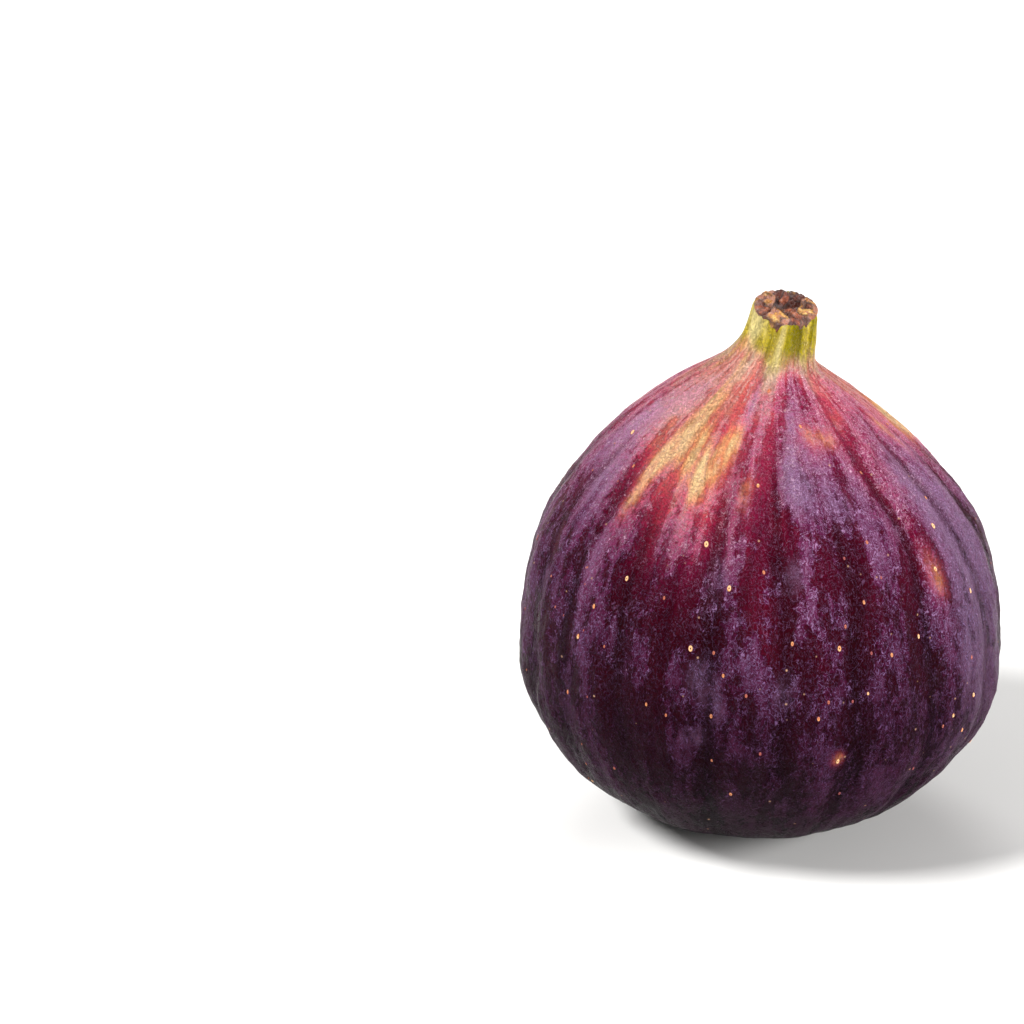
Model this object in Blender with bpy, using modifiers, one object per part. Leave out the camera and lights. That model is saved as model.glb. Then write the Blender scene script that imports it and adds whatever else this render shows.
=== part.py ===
# A fresh fig standing on its base, with the cut stalk at the top.
# Metres, +Z up, front towards -Y. The origin is the middle of the base, on the surface it stands on.
import math

import bpy

# Driving dimensions
BELLY_RADIUS = 0.0278          # half the greatest width
BELLY_HEIGHT = 0.0202          # where the fruit is widest
BELLY_DEPTH = 0.0211           # its depth below the belly, if its own weight did not flatten the base
LOWER_POWER = 1.89             # 2 is an ellipse, less is a little flatter towards the base
SHOULDER_RISE = 0.0372         # from the belly up to where the shoulders would meet
SHOULDER_POWER = 2.60          # higher is a squarer shoulder
SHOULDER_TILT = 0.026          # the shoulder is this much lower on the right than halfway round
STALK_RADIUS = 0.0042          # where the stalk leaves the neck
STALK_CUT_RADIUS = 0.0031      # at the cut
STALK_CUT_HEIGHT = 0.0619      # middle of the cut face
NECK_FILLET = 0.0024           # softness of the curve from the shoulders into the stalk
NECK_LEAN = 0.0027             # the stalk stands this far to the right of the axis
NECK_LEAN_START = 0.0465
NECK_LEAN_SPAN = 0.0217
CUT_TILT_RIGHT = 0.08          # slope of the cut face, down to the right
CUT_TILT_FRONT = 0.22          # slope of the cut face, down to the front
CUT_TILT_SPAN = 0.0080         # length of stalk that takes up the slope
CUT_EDGE = 0.0006              # rounding of the cut edge
CUT_DISHING = 0.0003           # the dried middle of the cut lies this much lower

EYE_RADIUS = 0.0029            # the small hollow of the eye, in the middle of the base
EYE_DEPTH = 0.0011

# Shallow folds of the skin, from the neck to the base: angle in degrees from the front towards the
# right, and depth in metres
FOLDS = [
    (2, 0.00034), (20, 0.00036), (42, 0.00070), (66, 0.00055), (83, 0.00030), (103, 0.00040),
    (124, 0.00045), (142, 0.00030), (163, 0.00055), (184, 0.00030), (205, 0.00050), (226, 0.00030),
    (246, 0.00040), (265, 0.00030), (285, 0.00045), (303, 0.00030), (322, 0.00030), (343, 0.00045),
]
FOLD_WIDTH = 5.0               # degrees to either side of a fold's bottom
FOLD_LOWER_END = 0.0030
FOLD_UPPER_END = 0.0530
FOLD_RUN_OUT = 0.0090          # length over which a fold fades away at each end

# Fineness of the mesh
STEPS_ROUND = 90
BASE_RINGS = 10
SHOULDER_RINGS = 15
EYE_RINGS = 4


def smooth_step(value):
    value = min(max(value, 0.0), 1.0)
    return value * value * (3.0 - 2.0 * value)


def lower_radius(height):
    drop = (BELLY_HEIGHT - height) / BELLY_DEPTH
    return BELLY_RADIUS * math.sqrt(1.0 - drop ** LOWER_POWER)


def stalk_radius(height):
    along = smooth_step((height - STALK_CUT_HEIGHT + CUT_TILT_SPAN) / CUT_TILT_SPAN)
    return STALK_RADIUS + (STALK_CUT_RADIUS - STALK_RADIUS) * along


# side is -1 at the left, 0 at the front and back, and 1 at the right
def upper_radius(height, side=0.0):
    rise = (height - BELLY_HEIGHT) / (SHOULDER_RISE * (1.0 - SHOULDER_TILT * side))
    rise = min(max(rise, 0.0), 1.0)
    shoulder = BELLY_RADIUS * (1.0 - rise ** SHOULDER_POWER)
    stalk = stalk_radius(height)
    fillet = NECK_FILLET * rise
    return 0.5 * (shoulder + stalk + math.sqrt((shoulder - stalk) ** 2 + fillet ** 2))


# Half of the fruit's outline, from the middle of the cut down its outer side to the middle of the eye
def fig_profile():
    cut_radius = STALK_CUT_RADIUS - CUT_EDGE
    points = [
        (0.0, STALK_CUT_HEIGHT - CUT_DISHING),
        (cut_radius * 0.55, STALK_CUT_HEIGHT - CUT_DISHING * 0.5),
        (cut_radius, STALK_CUT_HEIGHT),
        (cut_radius + CUT_EDGE * 0.7, STALK_CUT_HEIGHT - CUT_EDGE * 0.3),
    ]
    # the rings stand closer together in the curve below the stalk
    skin_top = STALK_CUT_HEIGHT - CUT_EDGE
    for ring in range(SHOULDER_RINGS):
        share = ring / SHOULDER_RINGS
        height = skin_top + (BELLY_HEIGHT - skin_top) * share ** 1.35
        points.append((upper_radius(height), height))
    base_angle = math.asin(BELLY_HEIGHT / BELLY_DEPTH)
    for ring in range(BASE_RINGS + 1):
        height = BELLY_HEIGHT - BELLY_DEPTH * math.sin(base_angle * ring / BASE_RINGS)
        points.append((lower_radius(height), max(height, 0.0)))
    # the flat that it rests on ends at the rim of the eye
    for ring in range(EYE_RINGS + 1):
        share = 1.0 - ring / EYE_RINGS
        points.append((EYE_RADIUS * share, EYE_DEPTH * (1.0 - share ** 2)))
    return points


def fold_depth(angle, height):
    fade = smooth_step((height - FOLD_LOWER_END) / FOLD_RUN_OUT)
    fade *= smooth_step((FOLD_UPPER_END - height) / FOLD_RUN_OUT)
    total = 0.0
    for fold_angle, depth in FOLDS:
        away = (angle - fold_angle + 180.0) % 360.0 - 180.0
        total += depth * math.exp(-(away / FOLD_WIDTH) ** 2)
    return total * fade


# Gives the turned shape its uneven shoulders, skin folds, leaning neck and sloping cut
def grow_fruit(mesh):
    for vertex in mesh.vertices:
        x, y, height = vertex.co
        radius = math.hypot(x, y)
        if radius > 0.0:
            angle = math.degrees(math.atan2(x, -y))
            grown = radius - fold_depth(angle, height)
            if height > BELLY_HEIGHT:
                grown *= upper_radius(height, x / radius) / upper_radius(height)
            x *= grown / radius
            y *= grown / radius
        slope = smooth_step((height - STALK_CUT_HEIGHT + CUT_TILT_SPAN) / CUT_TILT_SPAN)
        lift = slope * (CUT_TILT_FRONT * y - CUT_TILT_RIGHT * x)
        lean = NECK_LEAN * smooth_step((height - NECK_LEAN_START) / NECK_LEAN_SPAN)
        vertex.co = (x + lean, y, height + lift)


def skin_material():
    material = bpy.data.materials.new("ripe fig skin")
    material.use_nodes = True
    shader = material.node_tree.nodes["Principled BSDF"]
    shader.inputs["Base Color"].default_value = (0.070, 0.022, 0.045, 1.0)
    shader.inputs["Roughness"].default_value = 0.50
    shader.inputs["Metallic"].default_value = 0.0
    return material


def build_fig():
    collection = bpy.data.collections.new("fresh fig")
    bpy.context.scene.collection.children.link(collection)

    profile = fig_profile()
    profile_mesh = bpy.data.meshes.new("fig profile")
    profile_mesh.from_pydata(
        [(radius, 0.0, height) for radius, height in profile],
        [(point, point + 1) for point in range(len(profile) - 1)],
        [],
    )
    turned = bpy.data.objects.new("fig profile", profile_mesh)
    collection.objects.link(turned)
    screw = turned.modifiers.new("turn", "SCREW")
    screw.axis = "Z"
    screw.angle = math.radians(360.0)
    screw.steps = STEPS_ROUND
    screw.render_steps = STEPS_ROUND
    screw.use_merge_vertices = True
    screw.merge_threshold = 0.00001
    screw.use_smooth_shade = True

    evaluated = turned.evaluated_get(bpy.context.evaluated_depsgraph_get())
    fig_mesh = bpy.data.meshes.new_from_object(evaluated)
    fig_mesh.name = "fig"
    bpy.data.objects.remove(turned)
    bpy.data.meshes.remove(profile_mesh)

    grow_fruit(fig_mesh)
    fig_mesh.materials.clear()
    fig_mesh.materials.append(skin_material())
    fig_mesh.shade_smooth()
    fig = bpy.data.objects.new("fig", fig_mesh)
    collection.objects.link(fig)


for existing in list(bpy.data.objects):
    bpy.data.objects.remove(existing)
build_fig()
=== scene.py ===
# A ripe fig on a pale table: its skin, the pores, the eye under the base and the dried cut of the stalk.
# Lengths in the dictionaries are millimetres, and angles are degrees from the front towards the right.
import math
import random

import bpy
import numpy as np
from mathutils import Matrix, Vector, noise as pointNoise


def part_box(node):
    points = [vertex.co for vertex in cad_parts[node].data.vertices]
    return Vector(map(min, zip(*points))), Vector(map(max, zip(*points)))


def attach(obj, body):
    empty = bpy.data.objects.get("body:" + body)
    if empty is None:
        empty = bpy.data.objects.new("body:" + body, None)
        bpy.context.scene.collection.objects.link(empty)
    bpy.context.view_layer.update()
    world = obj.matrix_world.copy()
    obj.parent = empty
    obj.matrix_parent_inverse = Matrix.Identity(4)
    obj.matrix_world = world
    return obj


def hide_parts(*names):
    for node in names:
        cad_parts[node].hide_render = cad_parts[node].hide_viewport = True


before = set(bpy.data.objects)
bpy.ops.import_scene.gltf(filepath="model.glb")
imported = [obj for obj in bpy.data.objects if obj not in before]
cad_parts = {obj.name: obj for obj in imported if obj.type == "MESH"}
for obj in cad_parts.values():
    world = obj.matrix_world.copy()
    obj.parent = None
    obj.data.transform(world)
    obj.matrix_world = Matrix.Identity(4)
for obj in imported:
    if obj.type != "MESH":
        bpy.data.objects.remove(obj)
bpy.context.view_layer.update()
figLow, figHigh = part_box("fig")
mm = 0.001
print("frame loaded, fig", [round(size / mm, 1) for size in figHigh - figLow], "mm")


def hexColour(text):
    # sRGB hex to the linear colour that nodes work in
    channels = [int(text[place:place + 2], 16) / 255 for place in (1, 3, 5)]
    return (*[c / 12.92 if c <= 0.04045 else ((c + 0.055) / 1.055) ** 2.4 for c in channels], 1.0)


def addNode(tree, kind, inputs=None, stops=None, **settings):
    # inputs go to sockets by name or number: a value, a socket, or a node whose first output is meant
    node = tree.nodes.new(kind)
    count = len(tree.nodes)
    node.location = (220 * (count % 12), -320 * (count // 12))
    for name, value in settings.items():
        setattr(node, name, value)
    for socket, value in (inputs or {}).items():
        if isinstance(value, bpy.types.Node):
            value = next(output for output in value.outputs if output.enabled)
        if isinstance(value, bpy.types.NodeSocket):
            tree.links.new(value, node.inputs[socket])
        else:
            node.inputs[socket].default_value = value
    if stops:
        elements = node.color_ramp.elements
        while len(elements) < len(stops):
            elements.new(1.0)
        for element, (place, colour) in zip(elements, stops):
            element.position = place
            element.color = hexColour(colour)
    return node


def startMaterial(name):
    # a material, its node tree, its shader, and the place on the piece in millimetres
    material = bpy.data.materials.new(name)
    material.use_nodes = True
    tree = material.node_tree
    place = addNode(tree, "ShaderNodeTexCoord").outputs["Object"]
    inMillimetres = addNode(tree, "ShaderNodeVectorMath", {0: place, "Scale": 1 / mm}, operation="SCALE")
    return material, tree, tree.nodes["Principled BSDF"], inMillimetres


def addSway(tree, base, pattern, reach):
    # base pushed up and down by a pattern that is centred on one half
    offset = addNode(tree, "ShaderNodeMath", {0: pattern, 1: 0.5}, operation="SUBTRACT")
    return addNode(tree, "ShaderNodeMath", {0: offset, 1: reach, 2: base}, operation="MULTIPLY_ADD")


def startTree(name, inputs):
    # a geometry tree with one named input for each entry, and the outputs that carry them
    kinds = {float: "NodeSocketFloat", int: "NodeSocketInt", bpy.types.Object: "NodeSocketObject",
             bpy.types.Material: "NodeSocketMaterial"}
    tree = bpy.data.node_groups.new(name, "GeometryNodeTree")
    tree.interface.new_socket("Geometry", in_out="OUTPUT", socket_type="NodeSocketGeometry")
    for label, value in inputs.items():
        tree.interface.new_socket(label, in_out="INPUT", socket_type=kinds[type(value)])
    return tree, tree.nodes.new("NodeGroupInput").outputs


def endTree(tree, geometry, material):
    realized = addNode(tree, "GeometryNodeRealizeInstances", {0: geometry})
    painted = addNode(tree, "GeometryNodeSetMaterial", {0: realized, "Material": material})
    addNode(tree, "NodeGroupOutput", {0: painted})


def growPiece(name, tree, inputs):
    # runs the tree on an empty host and keeps what it makes as a plain mesh at the origin
    host = bpy.data.objects.new(name + "Host", bpy.data.meshes.new(name + "Host"))
    bpy.context.scene.collection.objects.link(host)
    modifier = host.modifiers.new(name, "NODES")
    modifier.node_group = tree
    for item in tree.interface.items_tree:
        if item.in_out == "INPUT":
            modifier[item.identifier] = inputs[item.name]
    depsgraph = bpy.context.evaluated_depsgraph_get()
    mesh = bpy.data.meshes.new_from_object(
        host.evaluated_get(depsgraph), preserve_all_data_layers=True, depsgraph=depsgraph)
    bpy.data.objects.remove(host)
    mesh.name = name
    mesh.shade_smooth()
    piece = bpy.data.objects.new(name, mesh)
    bpy.context.scene.collection.objects.link(piece)
    print(name, len(mesh.polygons), "faces")
    return piece


def guideObject(name, points, edges=(), faces=(), **attributes):
    # points, lines or a small shape that a tree reads, with a number or a vector stored on each point
    mesh = bpy.data.meshes.new(name)
    mesh.from_pydata(points, edges, faces)
    for label, values in attributes.items():
        vector = isinstance(values[0], tuple)
        layer = mesh.attributes.new(label, "FLOAT_VECTOR" if vector else "FLOAT", "POINT")
        layer.data.foreach_set("vector" if vector else "value", np.array(values, np.float32).ravel())
    guide = bpy.data.objects.new(name, mesh)
    bpy.context.scene.collection.objects.link(guide)
    return guide


def ringFaces(rings, steps):
    # faces of a closed shell: a pole, rings of points down its outside, and a pole
    faces = [(0, 1 + step, 1 + (step + 1) % steps) for step in range(steps)]
    for ring in range(rings - 1):
        above, below = 1 + ring * steps, 1 + (ring + 1) * steps
        for step in range(steps):
            after = (step + 1) % steps
            faces.append((above + step, below + step, below + after, above + after))
    last = 1 + (rings - 1) * steps
    return faces + [(last + (step + 1) % steps, last + step, last + steps) for step in range(steps)]


def smoothStep(value):
    value = min(max(value, 0.0), 1.0)
    return value * value * (3 - 2 * value)


figForm = {
    "bellyRadius": 27.8, "bellyHeight": 20.2, "bellyDepth": 21.1, "lowerPower": 1.89,
    "shoulderRise": 37.2, "shoulderPower": 2.60, "shoulderTilt": 0.026,
    "stalkRadius": 4.2, "cutRadius": 3.1, "cutHeight": 61.9, "cutEdge": 0.6, "neckFillet": 2.4,
    "neckLean": 2.7, "leanStart": 46.5, "leanSpan": 21.7,
    "cutTiltRight": 0.08, "cutTiltFront": 0.22, "cutTiltSpan": 8.0,
    "capSink": 1.2, "rimDip": 0.15,
    "eyeRadius": 2.9, "eyeDepth": 1.1,
}


def lowerRadius(height):
    drop = (figForm["bellyHeight"] - height) / figForm["bellyDepth"]
    return figForm["bellyRadius"] * math.sqrt(1 - drop ** figForm["lowerPower"])


def upperRadius(height, side=0.0):
    # side is -1 at the left, 0 at the front and back, and 1 at the right
    shoulderRise = figForm["shoulderRise"] * (1 - figForm["shoulderTilt"] * side)
    rise = (height - figForm["bellyHeight"]) / shoulderRise
    rise = min(max(rise, 0.0), 1.0)
    shoulder = figForm["bellyRadius"] * (1 - rise ** figForm["shoulderPower"])
    along = smoothStep((height - figForm["cutHeight"]) / figForm["cutTiltSpan"] + 1)
    stalk = figForm["stalkRadius"] + (figForm["cutRadius"] - figForm["stalkRadius"]) * along
    fillet = figForm["neckFillet"] * rise
    return 0.5 * (shoulder + stalk + math.sqrt((shoulder - stalk) ** 2 + fillet ** 2))


# The skin: its rows and columns, and the sizes and heights of its relief
skinRelief = {
    "stepsRound": 440,
    "stalkRow": 0.17, "shoulderRow": 0.42, "lowerRow": 0.52,     # spacing of the rows down the skin
    "stalkFoot": 50.0, "lowerShare": 0.9,                        # height, and share of the belly height
    "calmHeight": 0.3, "calmSpan": 5.0,                          # smooth near the ring it rests on
    "lumpSize": 13.0, "lumpHeight": 1.5,
    "striaSize": 1.6, "striaLength": 9.0, "striaHeight": 0.5,
    "wrinkleSize": 1.8, "wrinkleHeight": 0.5,
    "foldWidth": 4.4, "foldWander": 9.0, "foldRunOut": 9.0,
    "ribWidth": 7.5, "stalkRibWidth": 19.0, "ribWander": 12.0,
    "ribStart": 47.0, "ribFull": 56.0,                           # heights between which the ribs rise,
    "widenStart": 49.0, "widenEnd": 58.0,                        # widen on to the stalk,
    "sinkStart": 54.0, "sinkEnd": 59.0, "sunkShare": 0.35,       # and sink again towards the cut
    "wanderSize": 16.0, "wanderLength": 14.0,
    "seed": 4.0,
}
# angle, depth, lower end and upper end of the folds that pull the skin in between the ribs
skinFolds = [
    (2, 0.34, 8, 53), (20, 0.36, 4, 50), (42, 0.75, 2, 54), (66, 0.58, 3, 53), (83, 0.30, 6, 50),
    (103, 0.40, 3, 53), (124, 0.45, 2, 52), (142, 0.30, 9, 50), (163, 0.58, 3, 54), (184, 0.30, 6, 51),
    (205, 0.50, 2, 53), (226, 0.30, 8, 50), (246, 0.42, 4, 54), (265, 0.30, 7, 51), (285, 0.45, 3, 53),
    (303, 0.34, 5, 52), (322, 0.30, 9, 50), (343, 0.32, 3, 53),
]
# angle and height of the raised ribs that run from the shoulders up the stalk
neckRibs = [
    (-88, 0.20), (-45, 0.30), (-6, 0.22), (34, 0.16), (70, 0.24), (112, 0.22), (158, 0.28),
    (199, 0.20), (236, 0.26),
]


def outlineRows():
    # radius and height from the middle of the cut, down the outer side, to the middle of the eye
    edge = figForm["cutEdge"]
    top = figForm["cutHeight"] - edge
    capRadius = figForm["cutRadius"] - edge
    path = [(capRadius * step / 20, figForm["cutHeight"] - figForm["capSink"]) for step in range(20)]
    path += [(capRadius + edge * math.sin(turn) * 0.98, top - figForm["rimDip"] * math.cos(turn))
             for turn in np.linspace(0.0, 1.35, 9)]
    path += [(upperRadius(height), height)
             for height in np.linspace(top - 0.1, figForm["bellyHeight"], 900)]
    baseAngle = math.asin(figForm["bellyHeight"] / figForm["bellyDepth"])
    for turn in np.linspace(0.0, baseAngle, 400):
        height = figForm["bellyHeight"] - figForm["bellyDepth"] * math.sin(turn)
        path.append((lowerRadius(height), max(height, 0.0)))
    path += [(figForm["eyeRadius"] * (1 - share), figForm["eyeDepth"] * (1 - (1 - share) ** 2))
             for share in np.linspace(0.0, 1.0, 60)]
    rows = [path[0]]
    walked = 0.0
    for before, point in zip(path, path[1:]):
        walked += math.dist(before, point)
        wanted = skinRelief["shoulderRow"]
        if point[1] > skinRelief["stalkFoot"]:
            wanted = skinRelief["stalkRow"]
        elif point[1] < figForm["bellyHeight"] * skinRelief["lowerShare"]:
            wanted = skinRelief["lowerRow"]
        if walked >= wanted:
            rows.append(point)
            walked = 0.0
    rows[-1] = path[-1]
    return rows


def outlineGuide():
    rows = outlineRows()
    outward, sideways, relief = [], [], []
    onBase = False
    for number, (radius, height) in enumerate(rows):
        above, below = rows[max(number - 1, 0)], rows[min(number + 1, len(rows) - 1)]
        down = Vector((below[0] - above[0], 0.0, below[1] - above[1])).normalized()
        outward.append((-down.z, 0.0, down.x))
        upper = height > figForm["bellyHeight"]
        sideways.append((upperRadius(height, 1.0) - upperRadius(height, -1.0)) / 2 if upper else 0.0)
        onBase = onBase or height == 0.0
        onCap = radius < figForm["cutRadius"] * 0.9 and upper
        relief.append(0.0 if onBase or onCap else smoothStep(
            (height - skinRelief["calmHeight"]) / skinRelief["calmSpan"]))
    points = [(radius, 0.0, height) for radius, height in rows]
    edges = [(number, number + 1) for number in range(len(rows) - 1)]
    return guideObject("outlineGuide", points, edges, outward=outward, sideways=sideways, relief=relief)


def circleGuide(name, marks, *labels):
    # one point for each mark, at its angle on a circle of radius 1
    points = [(math.sin(math.radians(mark[0])), -math.cos(math.radians(mark[0])), 0.0) for mark in marks]
    values = {label: [float(mark[number + 1]) for mark in marks] for number, label in enumerate(labels)}
    return guideObject(name, points, **values)


def skinTree(inputs):
    tree, entry = startTree("skin on the outline", inputs)
    outline = addNode(tree, "GeometryNodeObjectInfo", {"Object": entry["Outline"]}).outputs["Geometry"]
    rowCount = addNode(tree, "GeometryNodeAttributeDomainSize", {0: outline}).outputs["Point Count"]
    columns = addNode(tree, "ShaderNodeMath", {0: entry["Steps Round"], 1: 1.0}, operation="ADD")
    grid = addNode(tree, "GeometryNodeMeshGrid", {
        "Size X": 1.0, "Size Y": 1.0, "Vertices X": columns, "Vertices Y": rowCount})
    onGrid = addNode(tree, "ShaderNodeSeparateXYZ", {0: addNode(tree, "GeometryNodeInputPosition")})

    # each grid row reads its point of the outline
    lastRow = addNode(tree, "ShaderNodeMath", {0: rowCount, 1: 1.0}, operation="SUBTRACT")
    share = addNode(tree, "ShaderNodeMath", {0: 0.5, 1: onGrid.outputs["Y"]}, operation="SUBTRACT")
    row = addNode(tree, "ShaderNodeMath", {0: share, 1: lastRow}, operation="MULTIPLY")
    row = addNode(tree, "ShaderNodeMath", {0: row}, operation="ROUND")
    rowPlace = addNode(tree, "GeometryNodeSampleIndex", {
        0: outline, 1: addNode(tree, "GeometryNodeInputPosition"), 2: row}, data_type="FLOAT_VECTOR")
    rowPlace = addNode(tree, "ShaderNodeSeparateXYZ", {0: rowPlace})
    height = rowPlace.outputs["Z"]
    sampled = {}
    for label, kind in (("outward", "FLOAT_VECTOR"), ("sideways", "FLOAT"), ("relief", "FLOAT")):
        stored = addNode(tree, "GeometryNodeInputNamedAttribute", {"Name": label}, data_type=kind)
        sampled[label] = addNode(
            tree, "GeometryNodeSampleIndex", {0: outline, 1: stored, 2: row}, data_type=kind)
    outward = addNode(tree, "ShaderNodeSeparateXYZ", {0: sampled["outward"]})

    # direction round the fruit, and the flow coordinates that run down its meridians
    angle = addNode(tree, "ShaderNodeMath", {0: onGrid.outputs["X"], 1: math.tau}, operation="MULTIPLY")
    sine = addNode(tree, "ShaderNodeMath", {0: angle}, operation="SINE")
    cosine = addNode(tree, "ShaderNodeMath", {0: angle}, operation="COSINE")
    forward = addNode(tree, "ShaderNodeMath", {0: cosine, 1: -1.0}, operation="MULTIPLY")
    rise = addNode(tree, "ShaderNodeMath", {0: height, 1: 1 / figForm["bellyRadius"]}, operation="MULTIPLY")
    flow = addNode(tree, "ShaderNodeCombineXYZ", {0: sine, 1: forward, 2: rise})

    def noiseHeight(size, length, detail, height):
        # noise of that size round the fruit and that length down it, up to half of height either way
        across = addNode(tree, "ShaderNodeMath", {0: figForm["bellyRadius"], 1: size}, operation="DIVIDE")
        down = addNode(tree, "ShaderNodeMath", {0: figForm["bellyRadius"], 1: length}, operation="DIVIDE")
        stretch = addNode(tree, "ShaderNodeCombineXYZ", {0: across, 1: across, 2: down})
        scaled = addNode(tree, "ShaderNodeVectorMath", {0: flow, 1: stretch}, operation="MULTIPLY")
        noise = addNode(tree, "ShaderNodeTexNoise", {
            "Vector": scaled, "W": entry["Seed"], "Scale": 1.0, "Detail": detail}, noise_dimensions="4D")
        middle = addNode(tree, "ShaderNodeMath", {0: noise, 1: 0.5}, operation="SUBTRACT")
        return addNode(tree, "ShaderNodeMath", {0: middle, 1: height}, operation="MULTIPLY")

    def nearMark(marks, width, wander, labels):
        # 1 on the nearest mark's meridian, falling away to both sides, and that mark's stored numbers
        drift = noiseHeight(skinRelief["wanderSize"], skinRelief["wanderLength"], 1.0, wander)
        turned = addNode(tree, "ShaderNodeMath", {0: angle, 1: drift}, operation="ADD")
        east = addNode(tree, "ShaderNodeMath", {0: turned}, operation="SINE")
        south = addNode(tree, "ShaderNodeMath", {0: turned}, operation="COSINE")
        south = addNode(tree, "ShaderNodeMath", {0: south, 1: -1.0}, operation="MULTIPLY")
        here = addNode(tree, "ShaderNodeCombineXYZ", {0: east, 1: south})
        points = addNode(tree, "GeometryNodeObjectInfo", {"Object": marks}).outputs["Geometry"]
        nearest = addNode(tree, "GeometryNodeSampleNearest", {0: points, "Sample Position": here})
        markPlace = addNode(tree, "GeometryNodeSampleIndex", {
            0: points, 1: addNode(tree, "GeometryNodeInputPosition"), 2: nearest}, data_type="FLOAT_VECTOR")
        away = addNode(tree, "ShaderNodeVectorMath", {0: here, 1: markPlace}, operation="DISTANCE")
        away = addNode(tree, "ShaderNodeMath", {0: away.outputs["Value"], 1: width}, operation="DIVIDE")
        square = addNode(tree, "ShaderNodeMath", {0: away, 1: 2.0}, operation="POWER")
        square = addNode(tree, "ShaderNodeMath", {0: square, 1: -1.0}, operation="MULTIPLY")
        close = addNode(tree, "ShaderNodeMath", {0: square}, operation="EXPONENT")
        numbers = []
        for label in labels:
            stored = addNode(tree, "GeometryNodeInputNamedAttribute", {"Name": label}, data_type="FLOAT")
            numbers.append(addNode(
                tree, "GeometryNodeSampleIndex", {0: points, 1: stored, 2: nearest}, data_type="FLOAT"))
        return close, numbers

    # folds, each fading out at its own two ends
    fold, (depth, foot, head) = nearMark(
        entry["Folds"], entry["Fold Width"], entry["Fold Wander"], ("depth", "foot", "head"))
    footEnd = addNode(tree, "ShaderNodeMath", {0: foot, 1: entry["Fold Run Out"]}, operation="ADD")
    headEnd = addNode(tree, "ShaderNodeMath", {0: head, 1: entry["Fold Run Out"]}, operation="SUBTRACT")
    fadeFoot = addNode(tree, "ShaderNodeMapRange", {
        "Value": height, "From Min": foot, "From Max": footEnd}, interpolation_type="SMOOTHSTEP")
    fadeHead = addNode(tree, "ShaderNodeMapRange", {
        "Value": height, "From Min": head, "From Max": headEnd}, interpolation_type="SMOOTHSTEP")
    fade = addNode(tree, "ShaderNodeMath", {0: fadeFoot, 1: fadeHead}, operation="MULTIPLY")
    fold = addNode(tree, "ShaderNodeMath", {0: fold, 1: fade}, operation="MULTIPLY")
    foldDepth = addNode(tree, "ShaderNodeMath", {0: fold, 1: depth}, operation="MULTIPLY")

    # ribs of the neck, highest where the stalk begins
    wider = addNode(tree, "ShaderNodeMapRange", {
        "Value": height, "From Min": skinRelief["widenStart"], "From Max": skinRelief["widenEnd"],
        "To Min": entry["Rib Width"], "To Max": entry["Stalk Rib Width"]}, interpolation_type="SMOOTHSTEP")
    rib, (ribHeight,) = nearMark(entry["Ribs"], wider, entry["Rib Wander"], ("height",))
    ribRise = addNode(tree, "ShaderNodeMapRange", {
        "Value": height, "From Min": skinRelief["ribStart"], "From Max": skinRelief["ribFull"]},
        interpolation_type="SMOOTHSTEP")
    rib = addNode(tree, "ShaderNodeMath", {0: rib, 1: ribRise}, operation="MULTIPLY")
    ribLift = addNode(tree, "ShaderNodeMath", {0: rib, 1: ribHeight}, operation="MULTIPLY")
    ribFall = addNode(tree, "ShaderNodeMapRange", {
        "Value": height, "From Min": skinRelief["sinkStart"], "From Max": skinRelief["sinkEnd"],
        "To Min": 1.0, "To Max": skinRelief["sunkShare"]}, interpolation_type="SMOOTHSTEP")
    ribLift = addNode(tree, "ShaderNodeMath", {0: ribLift, 1: ribFall}, operation="MULTIPLY")

    # uneven growth: broad lumps, fine striae down the meridians and small wrinkles
    lumps = noiseHeight(entry["Lump Size"], entry["Lump Size"], 2.0, entry["Lump Height"])
    striae = noiseHeight(entry["Stria Size"], entry["Stria Length"], 1.5, entry["Stria Height"])
    wrinkles = noiseHeight(entry["Wrinkle Size"], entry["Wrinkle Size"], 2.0, entry["Wrinkle Height"])
    narrow = addNode(tree, "ShaderNodeMath", {
        0: rowPlace.outputs["X"], 1: figForm["bellyRadius"]}, operation="DIVIDE")
    small = addNode(tree, "ShaderNodeMath", {0: striae, 1: wrinkles}, operation="ADD")
    small = addNode(tree, "ShaderNodeMath", {0: small, 1: narrow}, operation="MULTIPLY")
    lift = addNode(tree, "ShaderNodeMath", {0: lumps, 1: small}, operation="ADD")
    lift = addNode(tree, "ShaderNodeMath", {0: lift, 1: ribLift}, operation="ADD")
    lift = addNode(tree, "ShaderNodeMath", {0: lift, 1: foldDepth}, operation="SUBTRACT")
    lift = addNode(tree, "ShaderNodeMath", {0: lift, 1: sampled["relief"]}, operation="MULTIPLY")

    # the point on the turned outline, pushed along its outward direction
    uneven = addNode(tree, "ShaderNodeMath", {0: sine, 1: sampled["sideways"]}, operation="MULTIPLY")
    radius = addNode(tree, "ShaderNodeMath", {0: rowPlace.outputs["X"], 1: uneven}, operation="ADD")
    pushOut = addNode(tree, "ShaderNodeMath", {0: outward.outputs["X"], 1: lift}, operation="MULTIPLY")
    pushUp = addNode(tree, "ShaderNodeMath", {0: outward.outputs["Z"], 1: lift}, operation="MULTIPLY")
    radius = addNode(tree, "ShaderNodeMath", {0: radius, 1: pushOut}, operation="ADD")
    level = addNode(tree, "ShaderNodeMath", {0: height, 1: pushUp}, operation="ADD")
    x = addNode(tree, "ShaderNodeMath", {0: sine, 1: radius}, operation="MULTIPLY")
    y = addNode(tree, "ShaderNodeMath", {0: forward, 1: radius}, operation="MULTIPLY")

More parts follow.
